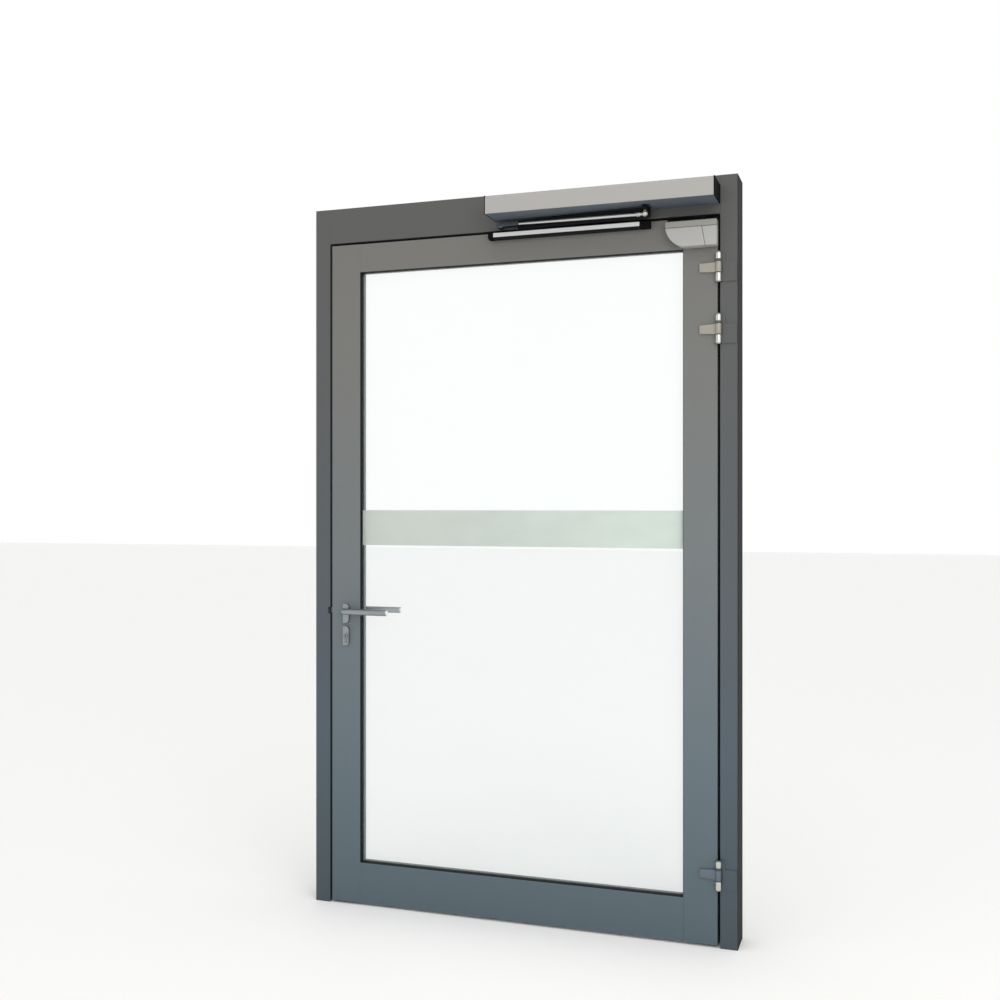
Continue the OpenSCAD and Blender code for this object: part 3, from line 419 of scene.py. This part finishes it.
# %% [markdown]
# ## Glass and film
#
# The pane is ten millimetres of clear float glass: almost no colour of its own, a
# faint green from iron, and sharp reflections. Full refraction would be truer, but it
# darkens a white room through two noisy surfaces, so the pane is a thin veil with a
# glossy skin. The band across it is a white film with an etched look, a little
# greenish over the glass, that warns people of the pane.


# %% Glass and film
def float_glass(name):
    """Clear glass, mostly see-through: sharp reflections over a faint green."""
    return new_material(name, "#dfeeea", Roughness=0.02, IOR=1.52, Alpha=0.10)[0]


def etched_film(name):
    """Frosted film: painted light drifting across the door, lighter towards the hinge side, with broad
    soft clouds in it. Its etched grain is far finer than half a millimetre and is drawn coarse enough
    to show."""
    mat, tree, shader = new_material(name, "#d3dcd5", Roughness=0.55)
    low, high = ends("frosted_band")
    clouds = grain(tree, 160, (1, 1, 2.5), detail=3)
    # Painted light: the film is lighter towards the hinge side.
    across = painted_light_ramp(tree, ("#bac1ba", "#bdc7c0", "#c6d2ca"), "X", low[0], high[0])
    tree.links.new(tinted(tree, across, clouds, 0.96, 1.04), shader.inputs["Base Color"])
    shader.inputs["Alpha"].default_value = 0.93
    bump(tree, shader, grain(tree, 0.5), 0.01, 0.4)
    return mat


finish["clear_glass"] = float_glass("clear_float_glass")
finish["frosted_film"] = etched_film("etched_film")
print("finishes for the nodes:", len(finish))

# %% [markdown]
# ## Floor finish
#
# The studio's floor is a seamless sheet of matt white card. A shadow catcher would
# hide it, but a real sheet also throws light up under the operator and the rails.

# %% Floor finish
floor_card = new_material("matt_white_card", "#fdfdfc", Roughness=0.7)[0]
floor_mesh.materials.append(floor_card)
print("floor is", floor_card.name)

# %% [markdown]
# ## Put each finish on its nodes
#
# The frame names a finish for each of its nodes. A node keeps its mesh; it takes a
# material, and a small bevel that follows the mesh so that sheared and sawn edges
# catch a line of light as real ones do. The leaf's hinge plates stand apart from the
# dark frame, because their zinc castings have a warm grey lacquer.


# %% Dress the frame
def soften(obj, width_mm):
    """Joins the loose triangles and rounds every edge sharper than 35 degrees."""
    weld = obj.modifiers.new("weld", "WELD")
    weld.merge_threshold = 0.01 * MM
    bevel = obj.modifiers.new("edges", "BEVEL")
    bevel.width = width_mm * MM
    bevel.segments = 2
    bevel.limit_method = "ANGLE"
    bevel.angle_limit = np.radians(35)


def hinge_casting(name):
    """Die-cast zinc with a warm grey lacquer, and painted shade that makes it darker and bluer towards
    the floor.
    """
    mat, tree, shader = new_material(name, "#8d8a82", Metallic=0.35, Roughness=0.4)
    painted_light_drift = painted_light_ramp(tree, ("#56616a", "#66707a", "#80807c", "#99958c", "#9b978e"))
    colour = tinted(tree, painted_light_drift, grain(tree, 0.9), 0.95, 1.04)
    tree.links.new(colour, shader.inputs["Base Color"])
    bump(tree, shader, grain(tree, 0.8), 0.02, 0.6)
    return mat


# Lacquer over a casting: half metal, half paint to the eye.
hinge_plate = hinge_casting("lacquered_zinc_casting")
hinges = ("top", "upper", "bottom")
for part in frame["record"]["subparts"]:
    obj = nodes[part["node"]]
    obj.data.materials.clear()
    leaf_wing = part["node"].endswith("leaf_wing")
    obj.data.materials.append(hinge_plate if leaf_wing else finish[part["material_slot"]])

EDGE_MM = {"operator_cap_left": 0.8, "operator_cap_right": 0.8, "operator_cover": 0.6,
           "handle_roses": 1.5, "escutcheons": 1.5, "track_end_caps": 0.8,
           "track_strip": 0.5, "arm_knuckle": 1.5, "arm_bar": 0.5}
EDGE_MM.update({hinge + "_hinge_leaf_wing": 0.8 for hinge in hinges})
for name, width in EDGE_MM.items():
    soften(nodes[name], width)

# %% [markdown]
# ## Surfaces from numbers
#
# The parts that follow are smooth pieces whose edges the eye follows, so each is
# worked out as a grid of points: rows that run along a shape, and columns that run
# round it. One function turns any such grid into a mesh. A way that closes on itself
# is joined end to start, and a row that shrinks to a point becomes a pole once its
# doubles are merged.


# %% Grid to mesh
ROUND = 56  # points in a full turn


def surface(name, grid, body, slot_name, close_rows=False, sharp_deg=40, material=None):
    """A piece from grid[row, column] points. Columns always close round; rows may too."""
    rows, columns = grid.shape[:2]
    index = np.arange(rows * columns).reshape(rows, columns)
    index = np.hstack([index, index[:, :1]])
    if close_rows:
        index = np.vstack([index, index[:1]])
    quads = np.stack([index[:-1, :-1], index[1:, :-1], index[1:, 1:], index[:-1, 1:]], -1)
    mesh = bpy.data.meshes.new(name)
    mesh.from_pydata(grid.reshape(-1, 3).tolist(), [], quads.reshape(-1, 4).tolist())
    work = bmesh.new()
    work.from_mesh(mesh)
    bmesh.ops.remove_doubles(work, verts=work.verts, dist=1e-6)
    bmesh.ops.recalc_face_normals(work, faces=work.faces)
    work.to_mesh(mesh)
    work.free()
    mesh.shade_smooth()
    mesh.set_sharp_from_angle(angle=np.radians(sharp_deg))
    mesh.materials.append(material or finish[slot_name])
    piece = bpy.data.objects.new(name, mesh)
    bpy.context.scene.collection.objects.link(piece)
    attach(piece, body)
    return piece


def turned(profile, centre, axis=(0, 0, 1)):
    """Turns a profile of (radius, height) pairs about an axis. Each point is the centre, plus
    height along the axis, plus radius times (cosine of the angle along one side of the axis
    and sine along the other)."""
    profile, axis = np.array(profile), np.array(axis, float)
    side = np.cross(axis, (0, 1, 0)) if abs(axis[1]) < 0.9 else np.cross(axis, (0, 0, 1))
    side /= np.linalg.norm(side)
    other = np.cross(axis, side)
    angle = np.linspace(0, 2 * np.pi, ROUND, endpoint=False)
    ring = np.cos(angle)[:, None] * side + np.sin(angle)[:, None] * other
    return np.array(centre) + profile[:, 1, None, None] * axis + profile[:, 0, None, None] * ring


def arc(centre_r, centre_h, radius, start_deg, end_deg, steps=8):
    """Points of a circle's arc in a profile: radius from cosine, height from sine."""
    angle = np.radians(np.linspace(start_deg, end_deg, steps))
    return np.stack([centre_r + radius * np.cos(angle), centre_h + radius * np.sin(angle)], -1)


print("a turned ring has", turned([(1, 0)], (0, 0, 0)).shape[1], "points")

# %% [markdown]
# ## Lever handles
#
# Each lever is one stainless tube: out of the rose past a small collar, round a tight
# bend, then straight along the door to an end with its rim broken and a bright domed
# button in it. It could be bent from a cylinder with a curve modifier, but a circle
# carried along the path keeps every section true through the bend, and collar and
# rim are simply where the circle's radius changes.


# %% Levers
def lever_bar(base, reach, stand_off, radius, out):
    """Carries a circle along an L: straight out for stand_off less the bend's radius, a quarter
    turn, then straight to reach. out is -1 for the front and +1 for the back. A station is a
    distance along the path and what the circle's radius has there over the bar's."""
    bend, rim = 14 * MM, 2.5 * MM
    neck = stand_off - bend
    turn = bend * np.pi / 2
    total = neck + turn + reach - bend
    collar = np.array([(8.1, -2), (8.1, 0.6), (9, 1), (12, 1), (12.2, 0.2), (13, 0.2), (13.2, 0)]) * MM
    plain = np.concatenate([np.linspace(14 * MM, neck, 4), neck + np.linspace(0.05, 1, 18) * turn,
                            np.linspace(neck + turn + 4 * MM, total - rim, 12)])
    quarter = np.linspace(0, np.pi / 2, 8)
    broken = np.stack([total - rim + rim * np.sin(quarter), rim * np.cos(quarter) - rim], -1)
    stations = np.concatenate([[(0, -radius)], collar, np.stack([plain, 0 * plain], -1), broken,
                               [(total, -0.55 * radius), (total, -radius)]])
    along, size = stations[:, 0], radius + stations[:, 1]

    angle = np.clip((along - neck) / bend, 0, np.pi / 2)
    x = bend * (1 - np.cos(angle)) + np.maximum(along - neck - turn, 0)
    y = np.minimum(along, neck) + bend * np.sin(angle)
    centre = np.stack([x, y * out, 0 * x], -1)
    side = np.stack([-np.cos(angle), np.sin(angle) * out, 0 * x], -1)
    around = np.linspace(0, 2 * np.pi, ROUND, endpoint=False)
    ring = np.cos(around)[:, None] * side[:, None] + np.sin(around)[:, None] * np.array([0, 0, 1])
    return np.array(base) + centre[:, None] + size[:, None, None] * ring


def end_button(radius):
    """Profile of a domed disc: a short wall, then a quarter ellipse four millimetres high."""
    fall = np.radians(np.linspace(90, 0, 12))
    dome = np.stack([radius * np.sin(fall), 4 * MM * np.cos(fall)], -1)
    return np.concatenate([[(0, -2 * MM), (radius, -2 * MM)], dome])


low, high = ends("lever_front")
bar_r = (high[2] - low[2]) / 2
lever_x, lever_z = low[0] + bar_r, (low[2] + high[2]) / 2
reach, stand_off = high[0] - lever_x, -low[1] - bar_r
leaf_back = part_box("rail_top")[1][1]
for name, y, out in (("front", 0.0, -1), ("back", leaf_back, 1)):
    grid = lever_bar((lever_x, y, lever_z), reach, stand_off, bar_r, out)
    piece = surface("lever_bar_" + name, grid, "lever", "stainless")
    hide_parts("lever_" + name)
    tip = (high[0] - 0.5 * MM, y + out * stand_off, lever_z)
    button = turned(end_button(bar_r - 1.2 * MM), tip, (1, 0, 0))
    surface("lever_button_" + name, button, "lever", "stainless", material=bright)
print("levers reach", round(reach / MM, 1), "mm and stand off", round(stand_off / MM, 1), "mm")

# %% [markdown]
# ## Hinge knuckles
#
# Between leaf and jamb each hinge shows three barrels. The middle one belongs to the
# leaf's plate; the outer two are bright sleeves pressed over the jamb wing's ends,
# while the wing itself is coated like the frame. Sleeves are turned: a thin wall with
# both rims rounded, closed into a tube. The upper one stops short of the middle
# barrel, so that a dark ring shows between them.


# %% Bright sleeves on the outer knuckles
def sleeve(name, x, y, z0, z1, barrel):
    """Turns a closed loop: up the inner wall, over a rounded rim, down the outer wall."""
    inner, outer, rim = barrel - 1.6 * MM, barrel + 0.4 * MM, 0.98 * MM
    top = arc(outer - rim, z1 - rim, rim, 90, 0)
    bottom = arc(outer - rim, z0 + rim, rim, 0, -90)
    loop = turned(np.concatenate([[(inner, z0), (inner, z1)], top, bottom]), (x, y, 0))
    return surface(name, loop, "frame", "stainless", close_rows=True, material=polished)


def knuckle(hinge):
    """A hinge's axis in x and y, its barrel's radius, and the middle knuckle's two ends."""
    low, high = ends(hinge + "_hinge_leaf_wing")
    barrel = (high[1] - low[1]) / 2
    return high[0] - barrel, (low[1] + high[1]) / 2, barrel, low[2], high[2]


# How much of the wing's barrels stays bare: over the middle one, under it, at the top.
bare_over, bare_under, bare_top = 7.8 * MM, 2.6 * MM, 1.3 * MM
for hinge in hinges:
    x, y, barrel, middle_low, middle_high = knuckle(hinge)
    low, high = ends(hinge + "_hinge_frame_wing")
    sleeve(hinge + "_sleeve_high", x, y, middle_high + bare_over, high[2] - bare_top, barrel)
    sleeve(hinge + "_sleeve_low", x, y, low[2], middle_low - bare_under, barrel)
print("knuckles stand", round((barrel - y) / MM, 1), "mm proud of the frame")

# %% [markdown]
# ## Arm joint
#
# The arm hangs from the operator's spindle by a bright ball-shaped hub. A turned
# collar with two raised bands takes the rod. Both are polished turned parts, so both
# are profiles spun about their own axis: the hub about the upright spindle, the
# collar about the arm, whose way runs from the hub to the shoe in the track.

# %% Hub and collar
hub_low, hub_high = ends("arm_hub")
spindle_low, spindle_high = ends("arm_spindle")
shoe_low, shoe_high = ends("slide_shoe")
ball = (hub_high[2] - hub_low[2]) / 2
spindle_x, spindle_y = ((spindle_low + spindle_high) / 2)[:2]
hub_at = np.array([spindle_x, spindle_y, (hub_low[2] + hub_high[2]) / 2])
arm_way = (shoe_low + shoe_high) / 2 - hub_at
arm_way[2] = 0
arm_way /= np.linalg.norm(arm_way)

neck_r = (spindle_high[0] - spindle_low[0]) / 2 + 1 * MM
profile = np.concatenate([[(0, -ball)], arc(1.2 * MM, 0, ball, -88, 62, 24),
                          [(neck_r, ball), (0, ball)]])
hub = surface("arm_hub_ball", turned(profile, hub_at), "arm", "anodised", material=polished)
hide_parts("arm_hub")

# Radius and distance from the spindle, in millimetres: neck, ring, groove, ring, taper.
collar = np.array([(0, 6), (5.2, 6), (5.2, 13.5), (7.2, 14), (7.6, 14.6), (7.6, 19),
                   (6.6, 19.4), (6.6, 20.4), (7.4, 20.8), (7.4, 25),
                   (6.2, 27.4), (5.1, 27.9), (0, 27.9)]) * MM
surface("arm_collar", turned(collar, hub_at, arm_way), "arm", "anodised", sharp_deg=30,
        material=polished)
print("arm joint at", np.round(hub_at, 3).tolist())

# %% [markdown]
# ## Moulded blocks
#
# Several flat parts have the same build: an outline with its own radius at each
# corner, carried outwards, then drawn in over a quarter round to a flat front. A
# bevel modifier could round a plain block, but it gives every corner one radius; here
# one rule gives wall, soft edge and face, and each corner keeps its own.


# %% Outlines with rounded corners
def rounded(corners, inset=0.0, steps=10):
    """Moves an anticlockwise outline of (x, z, radius) corners in by inset. Each corner is an arc
    round a centre that stays put, with its radius less the inset."""
    corners = np.array(corners, float)
    point, radius = corners[:, :2], corners[:, 2]
    ahead = np.roll(point, -1, 0) - point
    ahead /= np.linalg.norm(ahead, axis=1)[:, None]
    behind = np.roll(ahead, 1, 0)
    across = behind[:, 0] * ahead[:, 1] - behind[:, 1] * ahead[:, 0]
    turn = np.arctan2(across, (behind * ahead).sum(1))
    before = np.stack([behind[:, 1], -behind[:, 0]], -1)
    after = np.stack([ahead[:, 1], -ahead[:, 0]], -1)
    inward = -(before + after)
    inward /= np.linalg.norm(inward, axis=1)[:, None]
    reach = np.maximum(radius, inset)
    centre = point + inward * (reach / np.cos(turn / 2))[:, None]
    start = np.arctan2(before[:, 1], before[:, 0])
    angle = start[:, None] + turn[:, None] * np.linspace(0, 1, steps)
    spoke = np.stack([np.cos(angle), np.sin(angle)], -1)
    return (centre[:, None] + (reach - inset)[:, None, None] * spoke).reshape(-1, 2)


def panel(x0, x1, z0, z1, high_r, low_r):
    """Corners of an upright rectangle, with one radius at the top and one at the bottom."""
    return [(x0, z1, high_r), (x0, z0, low_r), (x1, z0, low_r), (x1, z1, high_r)]


def moulded_block(name, corners, back, front, edge, slot_name, crown=0.0, material=None):
    """Rings from back to front: the wall, a quarter round of radius edge, then the face drawn
    in to its middle, which stands crown further out. The block rides on the leaf."""
    quarter = np.linspace(0, np.pi / 2, 8)
    inset = np.concatenate([[0, 0], edge * (1 - np.cos(quarter))])
    wall = [back, back + 0.3 * (front - back)]
    depth = np.concatenate([wall, front + edge * (1 - np.sin(quarter)) * np.sign(back - front)])
    rings = [np.insert(rounded(corners, i), 1, d, axis=1) for i, d in zip(inset, depth)]
    last = rings[-1]
    middle = last.mean(0)
    for share in (0.35, 0.7, 1.0):
        ring = last + (middle - last) * share
        ring[:, 1] = front + np.sign(front - back) * crown * (1 - (1 - share) ** 2)
        rings.append(ring)
    rings.insert(0, np.tile(rings[0].mean(0), (len(last), 1)))
    return surface(name, np.array(rings), "leaf", slot_name, material=material)


print("an outline has", len(rounded(panel(0, 2, 0, 1, 0.1, 0.1))), "points")

# %% [markdown]
# ## Sensor
#
# The safety sensor on the leaf is a light-grey housing with one very round lower
# corner. A slightly darker infrared window runs along its top, and a slanting joint
# parts the end cap from the body. Above and behind the window a flat black seat fills
# the space up to the leaf's top edge; it is partly the sensor's black base and partly
# painted shade in the gap above the leaf. All are moulded blocks; the joint is the gap
# left between two outlines.

# %% Sensor housing, end cap, window and seat
cover_low, cover_high = ends("sensor_cover")
window_low, window_high = ends("sensor_window")
x0, back, z0 = cover_low[0], cover_high[1], cover_low[2]
x1, front, z1 = cover_high[0], cover_low[1], cover_high[2]
joint = 0.35 * MM
seam_top, seam_low = x1 - 44 * MM, x1 - 34 * MM

slant, sweep, small = 12 * MM, 64 * MM, 2.5 * MM
body = [(x0, z1 - joint, 0.3 * MM), (x0 + slant, z0, sweep),
        (seam_low - joint, z0, small), (seam_top - joint, z1 - joint, small)]
housing = moulded_block("sensor_housing", body, back, front, 2.2 * MM, "sensor_plastic")
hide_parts("sensor_cover")

cap = [(seam_top + joint, z1 - joint, 1 * MM), (seam_low + joint, z0, 1 * MM),
       (x1, z0, 4 * MM), (x1, z1 - joint, 1 * MM)]
moulded_block("sensor_end_cap", cap, back, front, 2.5 * MM, "sensor_plastic")

left, right = window_low[0], window_high[0]
brow = panel(left, right, window_low[2] + joint, window_high[2] + 5 * MM, 2 * MM, 1 * MM)
window = moulded_block("sensor_brow", brow, window_high[1], window_low[1], 2.5 * MM, "sensor_window")
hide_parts("sensor_window")

# The seat, like the tongues, starts a hair off the leaf, so that no two faces coincide.
OFF_FACE, STAND_OUT = -0.2 * MM, -7 * MM
leaf_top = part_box("rail_top")[1][2]
# The black seat is partly the sensor's base and partly painted shade in the gap above the leaf.
seat = panel(left + 3 * MM, right - 1 * MM, window_high[2], leaf_top - 1 * MM, 2 * MM, 1 * MM)
moulded_block("sensor_seat_and_shade", seat, OFF_FACE, STAND_OUT, 1.5 * MM, "black_plastic")
print("sensor is", round((x1 - x0) / MM), "x", round((window_high[2] - z0) / MM), "mm")

# %% [markdown]
# ## Hinge tongues
#
# The leaf's half of each hinge reaches over the stile as a thick tongue, a little
# narrower at its free end, with rounded corners and soft edges. A bevelled box would
# do, but a moulded block gives each corner its own radius and the face a slight crown.

# %% Hinge tongues on the leaf
for hinge in hinges:
    x, *_, middle_low, middle_high = knuckle(hinge)
    free_end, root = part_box(hinge + "_hinge_leaf_wing")[0][0], x - 2 * MM
    tongue = [(free_end, middle_high - 3 * MM, 3 * MM), (free_end, middle_low + 3 * MM, 3 * MM),
              (root, middle_low, 1 * MM), (root, middle_high, 1 * MM)]
    moulded_block(hinge + "_tongue", tongue, OFF_FACE, STAND_OUT, 1.6 * MM, "anodised",
                  crown=0.4 * MM, material=hinge_plate)
print("tongues reach", round((root - free_end) / MM), "mm over the stile")

# %% [markdown]
# ## Black lining of the glass opening
#
# A rubber lip runs from the front edge of each profile back to the pane and hides the
# profile's own edge, which is why the opening reads as a black line. It could be four
# mitred strips; one strip carried round the opening has no joints to show. Its
# section is four rings of one rounded rectangle, closed.

# %% Glazing lip
glass_low, glass_high = ends("glass_pane")
bite, lip_t, lip_front = 12 * MM, 1.3 * MM, 0.8 * MM
lip_back = glass_low[1] - 0.2 * MM
left, right = glass_low[0] + bite, glass_high[0] - bite
bottom, top = glass_low[2] + bite, glass_high[2] - bite
opening = panel(left, right, bottom, top, 1 * MM, 1 * MM)
section = ((0, lip_front), (lip_t, lip_front + 1 * MM), (lip_t, lip_back), (0, lip_back))
rings = [np.insert(rounded(opening, inset, 4), 1, depth, axis=1) for inset, depth in section]
surface("glazing_lip", np.array(rings), "leaf", "seal_rubber", close_rows=True)
print("opening is", round((right - left) / MM), "x", round((top - bottom) / MM), "mm")
